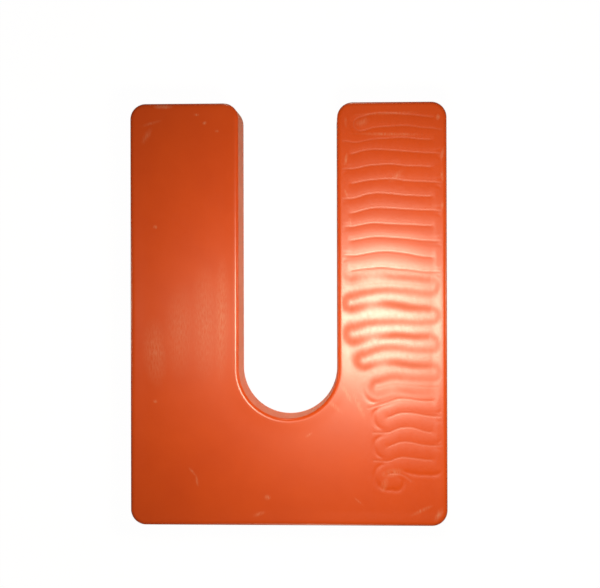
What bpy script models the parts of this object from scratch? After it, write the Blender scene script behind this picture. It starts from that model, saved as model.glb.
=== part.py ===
"""Horseshoe shim: one solid moulded plate, open at one end by a round-ended slot.

The plate lies flat on its lower face, with its thickness along +Z. The heel is at -Y, and both
legs point to +Y, where the slot is open. The origin is the centre of the lower face. The walls
lean in from the lower face to the upper one, by the draft that lets the plate out of its mould.
Units are metres.
"""

import math

import bmesh
import bpy

# Sizes of the upper face
FACE_WIDTH = 0.0762
FACE_LENGTH = 0.1016
SLOT_WIDTH = 0.0238
SLOT_DEPTH = 0.0759
HEEL_CORNER_RADIUS = 0.0037
TIP_OUTER_RADIUS = 0.0037
TIP_INNER_RADIUS = 0.0037

# Sizes through the plate
PLATE_THICKNESS = 0.0127
WALL_DRAFT = 0.00027
UPPER_EDGE_RADIUS = 0.0009
LOWER_EDGE_RADIUS = 0.0004

# Steps of the round stretches
CORNER_STEPS = 8
SLOT_END_STEPS = 28
EDGE_STEPS = 4
WELD_DISTANCE = 0.00001

SHIM_COLOUR = (0.65, 0.085, 0.017, 1.0)
SHIM_ROUGHNESS = 0.38

COLLECTION_NAME = "horseshoe_shim"
NODE_NAME = "shim_plate"


def clear_scene():
    """Remove every object that the file starts with."""
    for obj in list(bpy.data.objects):
        bpy.data.objects.remove(obj, do_unlink=True)


def make_collection(name):
    """Add a collection for the object's parts."""
    collection = bpy.data.collections.new(name)
    bpy.context.scene.collection.children.link(collection)
    return collection


def shim_material():
    """Semi-gloss orange plastic."""
    material = bpy.data.materials.new("orange_plastic")
    material.use_nodes = True
    shader = material.node_tree.nodes["Principled BSDF"]
    shader.inputs["Base Color"].default_value = SHIM_COLOUR
    shader.inputs["Roughness"].default_value = SHIM_ROUGHNESS
    shader.inputs["Metallic"].default_value = 0.0
    return material


def arc(centre, radius, start_deg, end_deg, steps):
    """Points along an arc in the XY plane, both ends included."""
    points = []
    for step in range(steps + 1):
        angle = math.radians(start_deg + (end_deg - start_deg) * step / steps)
        x = centre[0] + radius * math.cos(angle)
        y = centre[1] + radius * math.sin(angle)
        points.append((x, y))
    return points


def lower_outline():
    """The U outline of the lower face, anticlockwise: the upper face's, grown by the draft."""
    side = FACE_WIDTH / 2 + WALL_DRAFT
    heel = -FACE_LENGTH / 2 - WALL_DRAFT
    tip = FACE_LENGTH / 2 + WALL_DRAFT
    heel_radius = HEEL_CORNER_RADIUS + WALL_DRAFT
    outer_radius = TIP_OUTER_RADIUS + WALL_DRAFT
    inner_radius = TIP_INNER_RADIUS + WALL_DRAFT
    slot_radius = SLOT_WIDTH / 2 - WALL_DRAFT
    slot_end_centre = (0.0, FACE_LENGTH / 2 - SLOT_DEPTH + SLOT_WIDTH / 2)

    outline = []
    outline += arc((-side + heel_radius, heel + heel_radius), heel_radius, 180, 270, CORNER_STEPS)
    outline += arc((side - heel_radius, heel + heel_radius), heel_radius, 270, 360, CORNER_STEPS)
    outline += arc((side - outer_radius, tip - outer_radius), outer_radius, 0, 90, CORNER_STEPS)
    outline += arc((slot_radius + inner_radius, tip - inner_radius), inner_radius, 90, 180, CORNER_STEPS)
    outline += arc(slot_end_centre, slot_radius, 0, -180, SLOT_END_STEPS)
    outline += arc((-slot_radius - inner_radius, tip - inner_radius), inner_radius, 0, 90, CORNER_STEPS)
    outline += arc((-side + outer_radius, tip - outer_radius), outer_radius, 90, 180, CORNER_STEPS)
    return outline


def filled_outline(points):
    """A flat mesh of the closed outline, made from a filled 2D curve."""
    curve = bpy.data.curves.new("shim_outline", "CURVE")
    curve.dimensions = "2D"
    curve.fill_mode = "BOTH"
    spline = curve.splines.new("POLY")
    spline.points.add(len(points) - 1)
    for control, (x, y) in zip(spline.points, points):
        control.co = (x, y, 0.0, 1.0)
    spline.use_cyclic_u = True

    guide = bpy.data.objects.new("shim_outline", curve)
    bpy.context.scene.collection.objects.link(guide)
    depsgraph = bpy.context.evaluated_depsgraph_get()
    mesh = bpy.data.meshes.new_from_object(guide.evaluated_get(depsgraph))
    bpy.data.objects.remove(guide, do_unlink=True)
    bpy.data.curves.remove(curve)
    return mesh


def raise_plate(mesh):
    """Draw the flat outline up into a solid with drafted walls, and weight its two edge loops."""
    bm = bmesh.new()
    bm.from_mesh(mesh)
    bmesh.ops.remove_doubles(bm, verts=bm.verts, dist=WELD_DISTANCE)
    bmesh.ops.recalc_face_normals(bm, faces=bm.faces)
    if bm.faces[0].normal.z < 0:
        bmesh.ops.reverse_faces(bm, faces=bm.faces)
    bmesh.ops.inset_region(
        bm,
        faces=bm.faces,
        thickness=WALL_DRAFT,
        depth=PLATE_THICKNESS,
        use_boundary=True,
        use_even_offset=True,
    )
    rim = [edge for edge in bm.edges if edge.is_boundary]
    bmesh.ops.holes_fill(bm, edges=rim, sides=0)
    bmesh.ops.dissolve_limit(bm, angle_limit=math.radians(0.1), verts=bm.verts, edges=bm.edges)
    bmesh.ops.recalc_face_normals(bm, faces=bm.faces)

    weight = bm.edges.layers.float.new("bevel_weight_edge")
    for edge in bm.edges:
        heights = [vert.co.z for vert in edge.verts]
        if max(heights) < PLATE_THICKNESS / 2:
            edge[weight] = LOWER_EDGE_RADIUS / UPPER_EDGE_RADIUS
        elif min(heights) > PLATE_THICKNESS / 2:
            edge[weight] = 1.0
    bm.to_mesh(mesh)
    bm.free()


def make_shim_plate(collection):
    """The whole plate, with its upper and lower edges rounded by a weighted bevel."""
    mesh = filled_outline(lower_outline())
    raise_plate(mesh)
    mesh.name = NODE_NAME
    mesh.materials.clear()
    mesh.materials.append(shim_material())
    plate = bpy.data.objects.new(NODE_NAME, mesh)
    collection.objects.link(plate)

    rounding = plate.modifiers.new("edge_rounding", "BEVEL")
    rounding.limit_method = "WEIGHT"
    rounding.width = UPPER_EDGE_RADIUS
    rounding.segments = EDGE_STEPS
    rounding.use_clamp_overlap = False
    mesh.shade_smooth()
    mesh.set_sharp_from_angle(angle=math.radians(40))
    return plate


def main():
    clear_scene()
    make_shim_plate(make_collection(COLLECTION_NAME))


main()
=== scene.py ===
"""Horseshoe shim: a moulded orange plate with a wandering flow mark frozen into one leg.

The plate lies flat with its slot open towards +Y. Sizes in the classes below are in
millimetres where their names end in _mm, and in metres everywhere else.
"""

import logging
import math
from dataclasses import dataclass, field
from enum import Enum

import bmesh
import bpy
import numpy as np
from mathutils import Euler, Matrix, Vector, noise


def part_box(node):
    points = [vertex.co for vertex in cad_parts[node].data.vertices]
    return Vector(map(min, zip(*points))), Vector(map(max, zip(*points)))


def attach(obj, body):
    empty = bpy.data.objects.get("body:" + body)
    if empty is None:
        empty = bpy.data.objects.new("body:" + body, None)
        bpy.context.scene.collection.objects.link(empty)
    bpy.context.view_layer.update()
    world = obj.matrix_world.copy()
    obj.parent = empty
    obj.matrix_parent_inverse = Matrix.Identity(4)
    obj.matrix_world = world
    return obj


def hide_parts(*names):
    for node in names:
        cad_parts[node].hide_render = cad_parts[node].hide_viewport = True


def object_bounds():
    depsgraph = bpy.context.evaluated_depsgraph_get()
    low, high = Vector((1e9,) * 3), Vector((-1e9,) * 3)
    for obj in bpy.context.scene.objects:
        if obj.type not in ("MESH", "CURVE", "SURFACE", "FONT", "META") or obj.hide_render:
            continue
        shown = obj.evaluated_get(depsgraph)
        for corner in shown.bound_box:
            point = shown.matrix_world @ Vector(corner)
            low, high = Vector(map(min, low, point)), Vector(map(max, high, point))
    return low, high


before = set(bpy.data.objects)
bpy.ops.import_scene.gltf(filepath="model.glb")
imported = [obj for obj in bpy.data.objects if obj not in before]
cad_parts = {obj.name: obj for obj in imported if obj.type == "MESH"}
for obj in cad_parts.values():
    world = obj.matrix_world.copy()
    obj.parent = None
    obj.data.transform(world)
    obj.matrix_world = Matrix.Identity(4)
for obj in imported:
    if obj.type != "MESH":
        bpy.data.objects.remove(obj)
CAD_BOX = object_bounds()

MM = 0.001
LOG = logging.getLogger("shim")


class Side(Enum):
    """The side of the leg at which the flow mark turns back."""

    SLOT = -1.0
    OUTER = 1.0


class Axis(Enum):
    """A direction across which a face is sliced."""

    X = 0
    Y = 1

    def vector(self) -> Vector:
        """Unit vector along the axis."""
        return Vector((1.0, 0.0, 0.0)) if self is Axis.X else Vector((0.0, 1.0, 0.0))


def smoothstep(low: float, high: float, value: np.ndarray) -> np.ndarray:
    """Ease from 0 at one value to 1 at another.

    Args:
        low: Where the ease starts.
        high: Where it ends, on either side of low.
        value: Values to ease.

    Returns:
        The eased values, from 0 to 1.
    """
    part = np.clip((value - low) / (high - low), 0.0, 1.0)
    return part * part * (3.0 - 2.0 * part)


@dataclass(frozen=True)
class Turn:
    """One hairpin of the flow mark, at its outermost point."""

    side: Side
    x_mm: float
    y_mm: float
    radius_mm: float = 1.6


@dataclass
class FlowMark:
    """A thin jet of plastic that folded back and forth across the leg before the mould filled.

    Each traverse runs between two hairpins. Near the middle of the leg the jet has sunk to a
    groove, and above and below it stands as a low rope with a crease between its folds.
    """

    start_mm: tuple[float, float] = (17.9, 45.7)
    end_mm: tuple[float, float] = (26.2, -40.5)
    tip_turn: Turn = Turn(Side.OUTER, 36.5, 47.0, 1.4)
    first_slot_turn_mm: float = 45.3
    first_slot_radius_mm: float = 3.5
    pitch_mm: float = 7.0
    slot_turns: int = 13
    turn_radius_mm: float = 1.7
    outer_line_mm: float = 36.0
    slot_line_mm: float = 13.7
    inner_line_mm: float = 22.5
    draw_in_mm: tuple[float, float] = (-1.0, -27.0)
    sag_mm: float = 1.3
    sag_place_mm: float = -3.0
    sag_reach_mm: float = 7.0
    arch_mm: float = 0.9
    arch_skew: float = 0.65
    dip_place: float = 0.26
    dip_length: float = 0.17
    dip_share: float = 0.6
    run_end_share: float = 0.3
    return_strength: float = 0.5
    return_gain: float = 0.3
    slot_turn_strength: float = 0.85
    outer_turn_strength: float = 0.5
    step_mm: float = 0.3
    fold_apart_mm: float = 4.4
    groove_width_mm: float = 0.9
    head_width_mm: float = 1.15
    head_line_mm: tuple[float, float] = (22.0, 14.0)
    groove_depth_mm: float = 0.045
    rope_height_mm: float = 0.035
    crease_width_mm: float = 0.27
    crease_depth_mm: float = 0.018
    outline_width_mm: float = 0.5
    outline_depth_mm: float = 0.04
    outline_clear_mm: tuple[float, float] = (0.8, 2.2)
    crease_mask: float = 0.5
    sunk_crease_share: float = 0.15
    wander_mm: float = 0.5
    wander_pitch_mm: float = 6.0
    curls_mm: tuple[tuple[float, float, float], ...] = (
        (25.7, 35.6, 1.7),
        (26.9, 32.0, 1.4),
        (24.6, 33.3, 1.0),
    )
    curl_width_mm: float = 0.45
    curl_height_mm: float = 0.008
    half_pitch_mm: float = 1.75
    groove_span_mm: tuple[float, float] = (-18.0, 8.0)
    groove_fade_mm: float = 4.5
    far_gain: float = 0.6
    far_span_mm: tuple[float, float] = (20.0, 48.0)

    def turns(self) -> list[Turn]:
        """Every hairpin from tip to heel, at an even pitch but for a sag in the middle.

        Towards the heel the slot-side hairpins draw in from the slot, as the leg meets the web.

        Returns:
            The hairpins, by turns on the outer and on the slot side.
        """
        hairpins = [self.tip_turn]
        for index in range(self.slot_turns):
            y = self.first_slot_turn_mm - index * self.pitch_mm
            sag = self.sag_mm * math.exp(-(((y - self.sag_place_mm) / self.sag_reach_mm) ** 2))
            drawn = float(smoothstep(*self.draw_in_mm, y))
            x = self.slot_line_mm + (self.inner_line_mm - self.slot_line_mm) * drawn
            radius = self.turn_radius_mm if index else self.first_slot_radius_mm
            hairpins.append(Turn(Side.SLOT, x, y - sag, radius))
            if index < self.slot_turns - 1:
                across = y - self.pitch_mm / 2.0
                hairpins.append(Turn(Side.OUTER, self.outer_line_mm, across, self.turn_radius_mm))
        return hairpins

    def centreline(self) -> np.ndarray:
        """Points along the middle of the jet, from its tip end to its heel end.

        Returns:
            An array of x and y in millimetres and of strength from 0 to 1, one row a point.
        """
        points: list[tuple[float, float, float]] = []
        leave = self.start_mm
        for turn in self.turns():
            rising = turn is self.tip_turn
            lean = -1.0 if rising else 1.0
            reach = turn.side.value * turn.radius_mm
            enter = (turn.x_mm - reach, turn.y_mm + lean * turn.radius_mm)
            points += self.traverse(leave, enter)
            points += self.hairpin(turn, lean)
            leave = (turn.x_mm - reach, turn.y_mm - lean * turn.radius_mm)
        points += self.traverse(leave, self.end_mm)
        return np.array(points)

    def traverse(
        self, leave: tuple[float, float], enter: tuple[float, float]
    ) -> list[tuple[float, float, float]]:
        """Points of one arched run between two hairpins, weak where it leaves the slot side."""
        length = math.hypot(enter[0] - leave[0], enter[1] - leave[1])
        count = max(2, int(length / self.step_mm))
        outward = enter[0] > leave[0]
        run = []
        for index in range(count):
            part = index / count
            eased = part * part * (3.0 - 2.0 * part)
            x = leave[0] + (enter[0] - leave[0]) * part
            y = leave[1] + (enter[1] - leave[1]) * eased
            across = part if outward else 1.0 - part
            y += self.arch_mm * math.sin(math.pi * across**self.arch_skew) ** 2
            run.append((x, y, self.run_strength(part, outward)))
        return run

    def run_strength(self, part: float, outward: bool) -> float:
        """Strength of the jet a given part of the way along a run."""
        if not outward:
            return self.return_strength + self.return_gain * part**2
        dip = math.exp(-(((part - self.dip_place) / self.dip_length) ** 2))
        return 1.0 - self.dip_share * dip - self.run_end_share * part**6

    def hairpin(self, turn: Turn, lean: float) -> list[tuple[float, float, float]]:
        """Points of one half circle, entered above its centre where lean is 1, or below at -1."""
        centre_x = turn.x_mm - turn.side.value * turn.radius_mm
        count = max(4, int(math.pi * turn.radius_mm / self.step_mm))
        slotward = turn.side is Side.SLOT
        strength = self.slot_turn_strength if slotward else self.outer_turn_strength
        bend = []
        for index in range(count):
            angle = math.pi * (0.5 - index / count)
            x = centre_x + turn.side.value * turn.radius_mm * math.cos(angle)
            y = turn.y_mm + lean * turn.radius_mm * math.sin(angle)
            bend.append((x, y, strength))
        return bend

    def distances(self, points: np.ndarray) -> tuple[np.ndarray, np.ndarray, np.ndarray]:
        """How far points lie from the jet and from its next fold.

        Args:
            points: x and y in millimetres, one row a point.

        Returns:
            The distance to the nearest stretch of the jet, that to the nearest other fold, and
            the strength of the nearest stretch.
        """
        jet = self.centreline()
        line = jet[:, :2]
        steps = np.linalg.norm(np.diff(line, axis=0), axis=1)
        along = np.concatenate(([0.0], np.cumsum(steps)))
        nearest = np.empty(len(points))
        other = np.empty(len(points))
        strength = np.empty(len(points))
        block = 2000
        for first in range(0, len(points), block):
            part = points[first:first + block]
            gap = np.hypot(part[:, :1] - line[:, 0], part[:, 1:] - line[:, 1])
            best = gap.argmin(axis=1)
            nearest[first:first + block] = gap[np.arange(len(part)), best]
            strength[first:first + block] = jet[best, 2]
            same_fold = np.abs(along - along[best][:, None]) < self.fold_apart_mm
            gap[same_fold] = np.inf
            other[first:first + block] = gap.min(axis=1)
        return nearest, other, strength

    def wander(self, points: np.ndarray) -> np.ndarray:
        """Small smooth shifts that make the folds uneven.

        Args:
            points: x and y in millimetres, one row a point.

        Returns:
            A shift in x and y for each point, in millimetres.
        """
        spots = (Vector((x, y, 0.0)) / self.wander_pitch_mm for x, y in points)
        shifts = [noise.noise_vector(spot) for spot in spots]
        return self.wander_mm * np.array([(shift.x, shift.y) for shift in shifts])

    def relief(self, points: np.ndarray) -> tuple[np.ndarray, np.ndarray]:
        """Height of the flow mark, and how much each point belongs to the jet.

        Args:
            points: x and y in millimetres, one row a point.

        Returns:
            Heights in millimetres, at or below zero for the most part, and a mask from 0 to 1.
        """
        nearest, other, strength = self.distances(points + self.wander(points))
        low, high = self.groove_span_mm
        fade = self.groove_fade_mm
        height = points[:, 1]
        sunk = smoothstep(high + fade, high - fade / 2, height)
        sunk *= smoothstep(low - fade, low + fade / 2, height)
        widen = smoothstep(*self.head_line_mm, points[:, 0])
        width = self.groove_width_mm + (self.head_width_mm - self.groove_width_mm) * widen
        groove = np.exp(-((nearest / width) ** 2)) * strength
        crease = np.exp(-(((other - nearest) / self.crease_width_mm) ** 2))
        crease *= nearest < 2.0 * self.half_pitch_mm
        outline = np.exp(-(((nearest - self.half_pitch_mm) / self.outline_width_mm) ** 2))
        outline *= smoothstep(*self.outline_clear_mm, other - nearest)
        rope = np.clip(1.0 - (nearest / self.half_pitch_mm) ** 2, 0.0, 1.0)
        faint = 1.0 - sunk
        kept = self.sunk_crease_share
        relief = self.rope_height_mm * rope * faint
        relief -= self.crease_depth_mm * crease * (kept + (1.0 - kept) * faint)
        relief -= self.outline_depth_mm * outline * faint
        middle = (low + high) / 2.0
        relief *= 1.0 + self.far_gain * smoothstep(*self.far_span_mm, np.abs(height - middle))
        relief -= self.groove_depth_mm * groove * sunk
        for x, y, radius in self.curls_mm:
            ring = np.hypot(points[:, 0] - x, points[:, 1] - y) - radius
            relief += self.curl_height_mm * np.exp(-((ring / self.curl_width_mm) ** 2))
        # The mask dulls the jet and paints shade into its grooves and creases.
        return relief, groove * sunk + self.crease_mask * crease * faint


@dataclass(frozen=True)
class PaleMark:
    """A soft pale oval on the upper face: most are rubbed scuffs, a few are painted highlight."""

    x_mm: float
    y_mm: float
    length_mm: float
    width_mm: float
    turn_deg: float = 0.0
    strength: float = 0.5


@dataclass(frozen=True)
class ShimPlastic:
    """Semi-gloss orange plastic, with mottled pigment, fine grain, rubbed marks, a painted highlight
    band on the left leg and painted shade in the flow mark.
    """

    name: str = "orange_moulded_plastic"
    pigment: tuple[float, float, float] = (0.87, 0.094, 0.008)
    deep_pigment: tuple[float, float, float] = (0.77, 0.074, 0.006)
    # Pale colour of the scuffs, also used to paint highlight on the left leg.
    rub_and_highlight: tuple[float, float, float] = (0.94, 0.40, 0.23)
    rub_scale: tuple[float, float, float] = (3600.0, 800.0, 800.0)
    # Darker colour in the flow mark's grooves and creases: painted shade.
    jet_painted_shade: tuple[float, float, float] = (0.72, 0.086, 0.010)
    refraction: float = 1.6
    roughness: float = 0.3
    roughness_spread: float = 0.022
    mottle_mm: float = 9.0
    streak_scale: tuple[float, float, float] = (2600.0, 900.0, 900.0)
    jet_dulling: float = 0.3
    rub_dulling: float = 0.2
    grain_mm: float = 0.35
    grain_strength: float = 0.35
    grain_depth_mm: float = 0.01
    pale_mark_reach_mm: float = 2.0
    scuffs_and_highlights: tuple[PaleMark, ...] = (
        PaleMark(-34.0, 43.0, 2.6, 0.9, 60.0, 0.35),
        PaleMark(-33.0, 46.0, 3.2, 0.5, 15.0, 0.3),
        PaleMark(-22.0, 48.0, 0.8, 0.4, 0.0, 0.6),
        PaleMark(-20.0, 46.0, 0.7, 0.5, 30.0, 0.6),
        PaleMark(-17.0, 44.0, 0.6, 0.4, 0.0, 0.5),
        PaleMark(-32.0, 21.0, 0.6, 0.6, 0.0, 0.7),
        PaleMark(-32.0, -21.0, 0.6, 0.5, 0.0, 0.7),
        PaleMark(-23.0, -38.0, 1.6, 0.35, -48.0, 0.6),
        PaleMark(-22.0, -40.0, 1.7, 0.35, -80.0, 0.6),
        # A real nick in the top edge, painted white: its glint is a painted highlight.
        PaleMark(-30.0, 50.0, 2.6, 0.7, 0.0, 0.8),
        # Four broad pale ovals across the left leg: a painted highlight band over faint scuffing.
        PaleMark(-32.0, -9.0, 3.4, 9.0, 3.0, 0.36),
        PaleMark(-26.0, -4.0, 4.5, 12.0, -2.0, 0.26),
        PaleMark(-20.0, -2.0, 4.0, 15.0, 0.0, 0.3),
        PaleMark(-16.0, -1.0, 2.2, 16.0, -1.0, 0.42),
        PaleMark(14.0, -19.0, 3.4, 0.7, -60.0, 0.4),
        PaleMark(17.0, -22.0, 4.2, 0.8, -66.0, 0.35),
        PaleMark(11.0, -22.0, 3.2, 0.7, -42.0, 0.35),
        PaleMark(-5.0, -44.0, 0.9, 0.8, 0.0, 0.7),
        PaleMark(-7.0, -48.0, 1.8, 0.6, 20.0, 0.5),
        PaleMark(5.0, -29.0, 1.2, 0.4, 35.0, 0.4),
        PaleMark(17.0, -45.0, 1.9, 0.3, -40.0, 0.4),
        PaleMark(32.0, -47.0, 3.4, 0.6, 25.0, 0.4),
        PaleMark(36.0, -48.0, 2.2, 0.9, 60.0, 0.5),
        PaleMark(36.0, 47.0, 0.9, 0.6, 90.0, 0.7),
        PaleMark(37.0, 38.0, 2.2, 0.5, 80.0, 0.5),
        PaleMark(37.0, 33.0, 1.8, 0.5, 95.0, 0.5),
        PaleMark(37.0, 26.0, 1.4, 0.4, 85.0, 0.4),
        PaleMark(14.0, 37.0, 1.9, 0.45, 80.0, 0.6),
        PaleMark(14.0, 46.0, 1.6, 0.4, 95.0, 0.4),
        PaleMark(24.0, 43.0, 9.5, 0.5, -1.0, 0.4),
        PaleMark(24.0, 48.0, 9.0, 0.45, 2.0, 0.3),
        PaleMark(14.0, 29.0, 1.1, 0.4, 110.0, 0.5),
        PaleMark(15.0, 22.0, 1.2, 0.4, 100.0, 0.4),
        PaleMark(18.0, 46.0, 1.9, 1.2, 20.0, 0.35),
        PaleMark(26.0, 33.0, 2.4, 0.9, 40.0, 0.3),
        PaleMark(25.0, -38.0, 3.2, 1.2, 10.0, 0.45),
        PaleMark(23.0, -41.0, 2.0, 1.0, 70.0, 0.4),
    )

    def build(self) -> bpy.types.Material:
        """Make the material, on Object coordinates and the plate's own flow attribute.

        Returns:
            The finished material.
        """
        material = bpy.data.materials.new(self.name)
        material.use_nodes = True
        tree = material.node_tree
        shader = tree.nodes["Principled BSDF"]
        place = tree.nodes.new("ShaderNodeTexCoord").outputs["Object"]

        mottle = self.cloud(tree, place, 1.0 / (self.mottle_mm * MM), 3.0)
        base = self.mix(tree, mottle, self.deep_pigment, self.pigment)
        # Paler colour for the scuffs and for the painted highlight on the left leg.
        rub_and_highlight = self.scuff_and_highlight_mask(tree, place)
        base = self.mix(tree, rub_and_highlight, base, self.rub_and_highlight)
        flow = tree.nodes.new("ShaderNodeAttribute")
        flow.attribute_name = "flow"
        # Painted shade: the flow mark's grooves and creases darkened through its mask.
        base = self.mix(tree, flow.outputs["Fac"], base, self.jet_painted_shade)
        tree.links.new(base, shader.inputs["Base Color"])

        streaks = tree.nodes.new("ShaderNodeMapping")
        streaks.inputs["Scale"].default_value = self.streak_scale
        tree.links.new(place, streaks.inputs["Vector"])
        fine = self.cloud(tree, streaks.outputs["Vector"], 1.0, 2.0)
        rough = self.spread(tree, fine, self.roughness, self.roughness_spread)
        dull = tree.nodes.new("ShaderNodeMath")
        dull.operation = "MULTIPLY_ADD"
        dull.inputs[1].default_value = self.jet_dulling
        tree.links.new(flow.outputs["Fac"], dull.inputs[0])
        tree.links.new(rough, dull.inputs[2])
        worn = tree.nodes.new("ShaderNodeMath")
        worn.operation = "MULTIPLY_ADD"
        worn.inputs[1].default_value = self.rub_dulling
        tree.links.new(rub_and_highlight, worn.inputs[0])
        tree.links.new(dull.outputs[0], worn.inputs[2])
        tree.links.new(worn.outputs[0], shader.inputs["Roughness"])

        grain = self.cloud(tree, place, 1.0 / (self.grain_mm * MM), 3.0)
        bump = tree.nodes.new("ShaderNodeBump")
        bump.inputs["Strength"].default_value = self.grain_strength
        bump.inputs["Distance"].default_value = self.grain_depth_mm * MM
        tree.links.new(grain, bump.inputs["Height"])
        tree.links.new(bump.outputs["Normal"], shader.inputs["Normal"])
        shader.inputs["IOR"].default_value = self.refraction
        return material

    def cloud(
        self,
        tree: bpy.types.NodeTree,
        vector: bpy.types.NodeSocket,
        scale: float,
        detail: float,
    ) -> bpy.types.NodeSocket:
        """Add noise at a scale, and return its value."""
        node = tree.nodes.new("ShaderNodeTexNoise")
        node.inputs["Scale"].default_value = scale
        node.inputs["Detail"].default_value = detail
        tree.links.new(vector, node.inputs["Vector"])
        return node.outputs["Fac"]

    def mix(
        self,
        tree: bpy.types.NodeTree,
        factor: bpy.types.NodeSocket,
        low: bpy.types.NodeSocket | tuple[float, float, float],
        high: bpy.types.NodeSocket | tuple[float, float, float],
    ) -> bpy.types.NodeSocket:
        """Blend two colours, each a colour or a socket, and return the blend."""
        node = tree.nodes.new("ShaderNodeMix")
        node.data_type = "RGBA"
        tree.links.new(factor, node.inputs[0])
        for socket, colour in ((node.inputs[6], low), (node.inputs[7], high)):
            if isinstance(colour, tuple):
                socket.default_value = (*colour, 1.0)
            else:
                tree.links.new(colour, socket)
        return node.outputs[2]

    def spread(
        self, tree: bpy.types.NodeTree, value: bpy.types.NodeSocket, middle: float, reach: float
    ) -> bpy.types.NodeSocket:
        """Map a value from 0 to 1 onto the range around a middle."""
        node = tree.nodes.new("ShaderNodeMapRange")
        node.inputs["From Min"].default_value = 0.3
        node.inputs["From Max"].default_value = 0.7
        node.inputs["To Min"].default_value = middle - reach
        node.inputs["To Max"].default_value = middle + reach
        tree.links.new(value, node.inputs["Value"])
        return node.outputs["Result"]

    def scuff_and_highlight_mask(
        self, tree: bpy.types.NodeTree, place: bpy.types.NodeSocket
    ) -> bpy.types.NodeSocket:
        """Add every pale oval, scuffs and painted highlight alike, broken up by noise, and return
        their joint mask.
        """
        top = CAD_BOX[1][2]
        joint = None
        for pale_mark in self.scuffs_and_highlights:
            fit = tree.nodes.new("ShaderNodeMapping")
            fit.vector_type = "TEXTURE"
            fit.inputs["Location"].default_value = (pale_mark.x_mm * MM, pale_mark.y_mm * MM, top)
            fit.inputs["Rotation"].default_value = (0.0, 0.0, math.radians(pale_mark.turn_deg))
            size = (pale_mark.length_mm * MM, pale_mark.width_mm * MM, self.pale_mark_reach_mm * MM)
            fit.inputs["Scale"].default_value = size
            tree.links.new(place, fit.inputs["Vector"])
            oval = tree.nodes.new("ShaderNodeTexGradient")
            oval.gradient_type = "SPHERICAL"
            tree.links.new(fit.outputs["Vector"], oval.inputs["Vector"])
            fade = tree.nodes.new("ShaderNodeMath")
            fade.operation = "MULTIPLY"
            fade.inputs[1].default_value = pale_mark.strength
            tree.links.new(oval.outputs["Fac"], fade.inputs[0])
            if joint is None:
                joint = fade.outputs[0]
                continue
            most = tree.nodes.new("ShaderNodeMath")
            most.operation = "MAXIMUM"
            tree.links.new(joint, most.inputs[0])
            tree.links.new(fade.outputs[0], most.inputs[1])
            joint = most.outputs[0]
        drawn = tree.nodes.new("ShaderNodeMapping")
        drawn.inputs["Scale"].default_value = self.rub_scale
        tree.links.new(place, drawn.inputs["Vector"])
        ragged = self.spread(tree, self.cloud(tree, drawn.outputs["Vector"], 1.0, 3.0), 0.5, 0.5)
        broken = tree.nodes.new("ShaderNodeMath")
        broken.operation = "MULTIPLY"
        tree.links.new(joint, broken.inputs[0])
        tree.links.new(ragged, broken.inputs[1])
        return broken.outputs[0]


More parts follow.
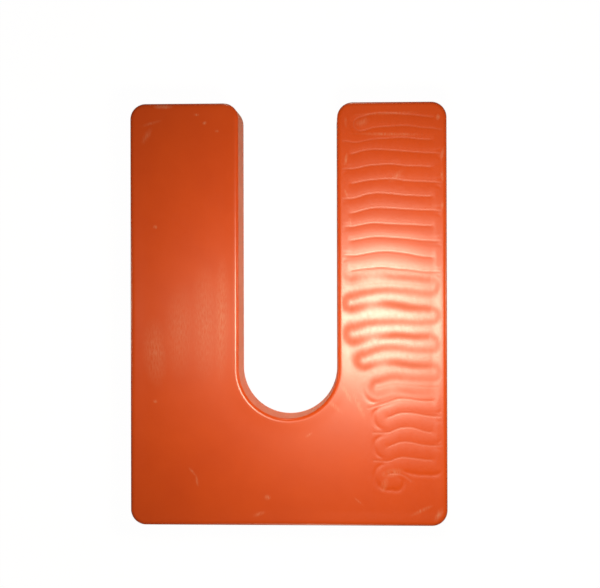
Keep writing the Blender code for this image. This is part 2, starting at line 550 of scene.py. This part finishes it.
@dataclass
class ShimPlate:
    """The plate itself: a U outline drawn up with draft, its edges rounded, its upper face worked."""

    low: Vector
    high: Vector
    slot_width_mm: float = 23.8
    slot_depth_mm: float = 75.9
    corner_radius_mm: float = 3.7
    draft_mm: float = 0.27
    upper_edge_mm: float = 0.9
    lower_edge_mm: float = 0.4
    edge_steps: int = 6
    corner_steps: int = 12
    slot_steps: int = 28
    rim_mm: float = 0.25
    leg_line_mm: float = 10.5
    fine_step_mm: float = 0.22
    coarse_step_mm: float = 1.2
    sink_mm: float = 0.06
    sink_ease_mm: float = 2.6
    relief_ease_mm: float = 1.1
    waviness_mm: float = 0.012
    wave_pitch_mm: float = 11.0
    flow: FlowMark = field(default_factory=FlowMark)

    def build(self, finish: ShimPlastic) -> bpy.types.Object:
        """Model and dress the plate.

        Args:
            finish: The plastic that it is moulded in.

        Returns:
            The plate, at the origin, with its place in its mesh.
        """
        bm = bmesh.new()
        self.draw_outline(bm)
        upper = self.raise_walls(bm)
        upper = self.round_edges(bm, upper)
        worked = self.slice_upper(bm, upper)
        flow_layer = bm.verts.layers.float.new("flow")
        self.work_upper(worked, flow_layer)
        for face in bm.faces:
            face.smooth = True
        mesh = bpy.data.meshes.new("shim_body")
        bm.to_mesh(mesh)
        bm.free()
        mesh.materials.append(finish.build())
        plate = bpy.data.objects.new("shim_body", mesh)
        bpy.context.scene.collection.objects.link(plate)
        even = plate.modifiers.new("even_shading", "WEIGHTED_NORMAL")
        even.mode = "FACE_AREA"
        return plate

    def draw_outline(self, bm: bmesh.types.BMesh) -> None:
        """Lay the lower face down as a sharp U, then round its corners and its slot's end."""
        half_slot = (self.slot_width_mm / 2 - self.draft_mm) * MM
        slot_end = self.high.y - self.slot_depth_mm * MM
        corners = (
            (self.low.x, self.low.y),
            (self.high.x, self.low.y),
            (self.high.x, self.high.y),
            (half_slot, self.high.y),
            (half_slot, slot_end),
            (-half_slot, slot_end),
            (-half_slot, self.high.y),
            (self.low.x, self.high.y),
        )
        verts = [bm.verts.new((x, y, self.low.z)) for x, y in corners]
        bm.faces.new(verts)
        slot_corners = verts[4:6]
        other_corners = verts[:4] + verts[6:]
        grown = (self.corner_radius_mm + self.draft_mm) * MM
        self.round_corners(bm, other_corners, grown, self.corner_steps)
        self.round_corners(bm, slot_corners, half_slot * 0.999, self.slot_steps)

    def round_corners(
        self, bm: bmesh.types.BMesh, verts: list[bmesh.types.BMVert], radius: float, steps: int
    ) -> None:
        """Round corners of a flat face to a radius."""
        bmesh.ops.bevel(
            bm,
            geom=verts,
            offset=radius,
            offset_type="OFFSET",
            segments=steps,
            profile=0.5,
            affect="VERTICES",
            clamp_overlap=False,
            material=-1,
        )

    def raise_walls(self, bm: bmesh.types.BMesh) -> bmesh.types.BMFace:
        """Draw the lower face up into a solid whose walls lean in by the draft.

        Returns:
            The upper face.
        """
        upper = bm.faces[:][0]
        upper.normal_update()
        if upper.normal.z < 0:
            upper.normal_flip()
        bmesh.ops.inset_region(
            bm,
            faces=[upper],
            thickness=self.draft_mm * MM,
            depth=self.high.z - self.low.z,
            use_boundary=True,
            use_even_offset=True,
        )
        rim = [edge for edge in bm.edges if edge.is_boundary]
        bmesh.ops.holes_fill(bm, edges=rim, sides=0)
        bmesh.ops.recalc_face_normals(bm, faces=bm.faces)
        return upper

    def round_edges(
        self, bm: bmesh.types.BMesh, upper: bmesh.types.BMFace
    ) -> bmesh.types.BMFace:
        """Round the upper and the lower edge loop, and ring the upper face with a narrow rim.

        Returns:
            The upper face inside the rim.
        """
        lower_loop = [e for e in bm.edges if all(v.co.z < self.low.z + MM for v in e.verts)]
        upper_loop = list(upper.edges)
        for loop, radius in ((upper_loop, self.upper_edge_mm), (lower_loop, self.lower_edge_mm)):
            bmesh.ops.bevel(
                bm,
                geom=loop,
                offset=radius * MM,
                offset_type="OFFSET",
                segments=self.edge_steps,
                profile=0.5,
                affect="EDGES",
                clamp_overlap=False,
                material=-1,
            )
        level = [f for f in bm.faces if f.calc_center_median().z > self.high.z - 0.01 * MM]
        upper = max(level, key=lambda face: face.calc_area())
        bmesh.ops.inset_region(
            bm, faces=[upper], thickness=self.rim_mm * MM, use_even_offset=True
        )
        return upper

    def slice_upper(
        self, bm: bmesh.types.BMesh, upper: bmesh.types.BMFace
    ) -> list[bmesh.types.BMFace]:
        """Cut the upper face into a grid, fine on the leg with the flow mark.

        Returns:
            Every face of the grid.
        """
        line = self.leg_line_mm
        left, right = self.split(bm, [upper], Axis.X, line)
        worked = []
        halves = (
            (left, self.coarse_step_mm, self.low.x / MM),
            (right, self.fine_step_mm, line),
        )
        for faces, step, start in halves:
            rows = np.arange(self.low.y / MM + step / 2, self.high.y / MM, step)
            columns = np.arange(start + step / 2, self.high.x / MM, step)
            faces = self.slice(bm, faces, Axis.Y, rows)
            worked += self.slice(bm, faces, Axis.X, columns)
        return worked

    def slice(
        self,
        bm: bmesh.types.BMesh,
        faces: list[bmesh.types.BMFace],
        axis: Axis,
        places_mm: np.ndarray,
    ) -> list[bmesh.types.BMFace]:
        """Cut faces square to an axis at rising places, and return all of the pieces."""
        done = []
        for place in places_mm:
            if not faces:
                break
            before, faces = self.split(bm, faces, axis, float(place))
            done += before
        return done + faces

    def split(
        self,
        bm: bmesh.types.BMesh,
        faces: list[bmesh.types.BMFace],
        axis: Axis,
        place_mm: float,
    ) -> tuple[list[bmesh.types.BMFace], list[bmesh.types.BMFace]]:
        """Cut faces at one place, and return those before it and those after it."""
        edges = {edge for face in faces for edge in face.edges}
        verts = {vert for face in faces for vert in face.verts}
        direction = axis.vector()
        cut = bmesh.ops.bisect_plane(
            bm,
            geom=[*verts, *edges, *faces],
            dist=0.0005 * MM,
            plane_co=direction * place_mm * MM,
            plane_no=direction,
        )
        pieces = [item for item in cut["geom"] if isinstance(item, bmesh.types.BMFace)]
        before, after = [], []
        for piece in pieces:
            beyond = piece.calc_center_median()[axis.value] > place_mm * MM
            (after if beyond else before).append(piece)
        return before, after

    def edge_distance(self, points: np.ndarray) -> np.ndarray:
        """Distance in millimetres from points on the upper face to its outline."""
        half_width = self.high.x / MM - self.draft_mm
        half_length = self.high.y / MM - self.draft_mm
        x, y = np.abs(points[:, 0]), points[:, 1]
        outer = np.minimum(half_width - x, half_length - np.abs(y))
        slot_radius = self.slot_width_mm / 2
        end_centre = half_length - self.slot_depth_mm + slot_radius
        past_end = np.minimum(y - end_centre, 0.0)
        return np.minimum(outer, np.hypot(x, past_end) - slot_radius)

    def work_upper(
        self, faces: list[bmesh.types.BMFace], flow_layer: bmesh.types.BMLayerItem
    ) -> None:
        """Sink the upper face a little inside its rim, and press the flow mark into it."""
        verts = list({vert for face in faces for vert in face.verts})
        points = np.array([(vert.co.x / MM, vert.co.y / MM) for vert in verts])
        clear = self.edge_distance(points) - self.upper_edge_mm - self.rim_mm
        sink = self.sink_mm * smoothstep(0.0, self.sink_ease_mm, clear)
        relief, mask = self.flow.relief(points)
        relief *= smoothstep(0.0, self.relief_ease_mm, clear)
        for vert, down, mark, share in zip(verts, sink, relief, mask):
            wave = noise.noise(vert.co / (self.wave_pitch_mm * MM)) * self.waviness_mm
            drop = -down + mark + wave * min(1.0, down / self.sink_mm)
            vert.co.z += min(drop, 0.0) * MM
            vert[flow_layer] = share


@dataclass(frozen=True)
class Lamp:
    """A round soft lamp, aimed at a point."""

    name: str
    place_mm: tuple[float, float, float]
    aim_mm: tuple[float, float, float]
    width_mm: float
    watts: float
    colour: tuple[float, float, float] = (1.0, 0.98, 0.76)


@dataclass
class Studio:
    """A pale floor, soft lamps and the camera above the plate."""

    floor_width: float = 6.0
    floor_colour: tuple[float, float, float] = (0.8, 0.62, 0.52)
    shadow_share: float = 0.06
    card_glow: float = 1.05
    ambient: float = 0.045
    lens_mm: float = 75.3
    camera_place_mm: tuple[float, float, float] = (15.26, 3.54, 313.5)
    camera_turn: tuple[float, float, float] = (0.0041, 0.0410, -0.0024)
    lamps: tuple[Lamp, ...] = (
        Lamp("key_lamp", (23.4, -3.4, 105.6), (23.4, -3.4, 0.0), 33.0, 0.096),
        Lamp("side_lamp", (-24.0, -5.0, 105.6), (-24.0, -5.0, 0.0), 30.0, 0.0055),
        Lamp("heel_lamp", (3.0, -33.0, 105.6), (-2.0, -34.0, 0.0), 30.0, 0.002),
        Lamp("right_fill", (220.0, 0.0, 20.0), (0.0, 0.0, 6.0), 34.0, 0.05),
        Lamp("left_fill", (-220.0, 0.0, 20.0), (0.0, 0.0, 6.0), 34.0, 0.05),
        Lamp("tip_fill", (0.0, 220.0, 20.0), (0.0, 0.0, 6.0), 34.0, 0.05),
        Lamp("heel_fill", (0.0, -220.0, 20.0), (0.0, 0.0, 6.0), 34.0, 0.05),
    )

    def build(self) -> None:
        """Set up the floor, the world, the lamps, the camera and plain colour handling."""
        self.lay_floor()
        self.light_world()
        for lamp in self.lamps:
            self.hang(lamp)
        self.stand_camera()
        bpy.context.scene.view_settings.view_transform = "Standard"

    def lay_floor(self) -> None:
        """Lay a wide flat floor just under the plate, white to the camera but for soft shade."""
        bm = bmesh.new()
        bmesh.ops.create_grid(bm, x_segments=1, y_segments=1, size=self.floor_width / 2)
        bmesh.ops.translate(bm, verts=bm.verts, vec=(0.0, 0.0, CAD_BOX[0][2] - 0.05 * MM))
        mesh = bpy.data.meshes.new("studio_floor")
        bm.to_mesh(mesh)
        bm.free()
        floor = bpy.data.objects.new("studio_floor", mesh)
        bpy.context.scene.collection.objects.link(floor)
        mesh.materials.append(self.floor_material())

    def floor_material(self) -> bpy.types.Material:
        """Matt white card that shows the camera a share of its own shade and white for the rest."""
        material = bpy.data.materials.new("pale_card")
        material.use_nodes = True
        tree = material.node_tree
        shader = tree.nodes["Principled BSDF"]
        shader.inputs["Base Color"].default_value = (*self.floor_colour, 1.0)
        shader.inputs["Roughness"].default_value = 0.9
        glow = tree.nodes.new("ShaderNodeEmission")
        glow.inputs["Strength"].default_value = self.card_glow
        blend = tree.nodes.new("ShaderNodeMixShader")
        seen = self.seen_share(tree, 1.0 - self.shadow_share)
        tree.links.new(seen, blend.inputs[0])
        tree.links.new(shader.outputs[0], blend.inputs[1])
        tree.links.new(glow.outputs[0], blend.inputs[2])
        tree.links.new(blend.outputs[0], tree.nodes["Material Output"].inputs["Surface"])
        return material

    def seen_share(self, tree: bpy.types.NodeTree, share: float) -> bpy.types.NodeSocket:
        """A share for rays straight from the camera, and zero for every other ray."""
        path = tree.nodes.new("ShaderNodeLightPath")
        times = tree.nodes.new("ShaderNodeMath")
        times.operation = "MULTIPLY"
        times.inputs[1].default_value = share
        tree.links.new(path.outputs["Is Camera Ray"], times.inputs[0])
        return times.outputs[0]

    def light_world(self) -> None:
        """Give the world a weak even light, and show the camera plain white."""
        world = bpy.data.worlds.new("studio_world")
        bpy.context.scene.world = world
        world.use_nodes = True
        tree = world.node_tree
        background = tree.nodes["Background"]
        background.inputs["Color"].default_value = (1.0, 1.0, 1.0, 1.0)
        seen = self.seen_share(tree, 1.0 - self.ambient)
        add = tree.nodes.new("ShaderNodeMath")
        add.operation = "ADD"
        add.inputs[1].default_value = self.ambient
        tree.links.new(seen, add.inputs[0])
        tree.links.new(add.outputs[0], background.inputs["Strength"])

    def hang(self, lamp: Lamp) -> None:
        """Hang one lamp."""
        light = bpy.data.lights.new(lamp.name, "AREA")
        light.shape = "DISK"
        light.size = lamp.width_mm * MM
        light.energy = lamp.watts
        light.color = lamp.colour
        holder = bpy.data.objects.new(lamp.name, light)
        place = Vector(lamp.place_mm) * MM
        aim = Vector(lamp.aim_mm) * MM
        holder.location = place
        holder.rotation_euler = (aim - place).to_track_quat("-Z", "Y").to_euler()
        holder.visible_camera = False
        bpy.context.scene.collection.objects.link(holder)

    def stand_camera(self) -> None:
        """Stand the camera above the plate, a little to the right of its middle."""
        camera = bpy.data.cameras.new("studio_camera")
        camera.lens = self.lens_mm
        camera.sensor_width = 36.0
        camera.clip_start = 1.0 * MM
        holder = bpy.data.objects.new("studio_camera", camera)
        holder.location = Vector(self.camera_place_mm) * MM
        holder.rotation_mode = "ZYX"
        holder.rotation_euler = Euler(self.camera_turn, "ZYX")
        bpy.context.scene.collection.objects.link(holder)
        bpy.context.scene.camera = holder


def main() -> None:
    """Build the studio and the plate."""
    logging.basicConfig(level=logging.INFO, format="%(name)s: %(message)s")
    Studio().build()
    low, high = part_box("shim_plate")
    plate = ShimPlate(Vector(low), Vector(high)).build(ShimPlastic())
    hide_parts("shim_plate")
    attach(plate, "root")
    LOG.info("%s: %d faces", plate.name, len(plate.data.polygons))


if __name__ == "__main__":
    main()
